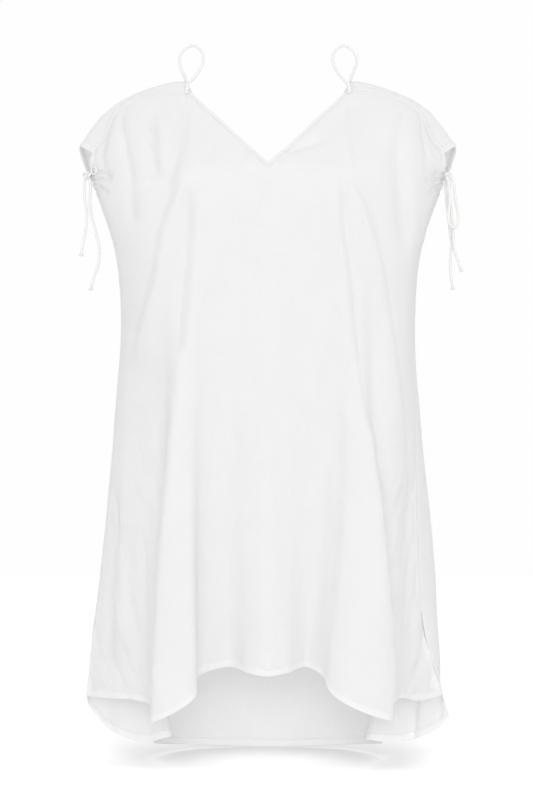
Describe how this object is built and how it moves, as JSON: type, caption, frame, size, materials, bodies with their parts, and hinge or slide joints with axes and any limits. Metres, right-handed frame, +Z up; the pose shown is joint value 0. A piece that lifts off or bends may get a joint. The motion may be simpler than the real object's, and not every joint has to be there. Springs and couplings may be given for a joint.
{
  "type": "tunic top",
  "caption": "Sleeveless V-neck tunic top in sheer white cloth, with tied cap sleeves, strap loops on the shoulders, side slits and a hem that is longer at the back.",
  "frame": {"origin": "midway between the two neck points, where the wearer's shoulders hold the top up", "axes": "+Z up, -Y out of the front, +X to the right as seen from the front"},
  "size_m": [0.5445, 0.3222, 1.0227],
  "materials": {
    "white_voile": "matt, sheer, plain weave",
    "white_binding": "matt, folded double",
    "rouleau_cord": "matt, turned bias tube"
  },
  "bodies": {
    "root": {"front_panel": "white_voile", "back_panel": "white_voile", "neck_binding_front": "white_binding", "neck_binding_back": "white_binding", "sleeve_casing_l": "white_binding", "sleeve_casing_r": "white_binding", "strap_loop_l": "rouleau_cord", "strap_loop_r": "rouleau_cord", "tie_knot_l": "rouleau_cord", "tie_ring_l": "rouleau_cord", "tie_end_l_short": "rouleau_cord", "tie_end_l_long": "rouleau_cord", "tie_tip_l_short": "rouleau_cord", "tie_tip_l_long": "rouleau_cord", "tie_knot_r": "rouleau_cord", "tie_loop_r": "rouleau_cord", "tie_end_r_short": "rouleau_cord", "tie_end_r_long": "rouleau_cord", "tie_tip_r_short": "rouleau_cord", "tie_tip_r_long": "rouleau_cord"}
  },
  "joints": []
}
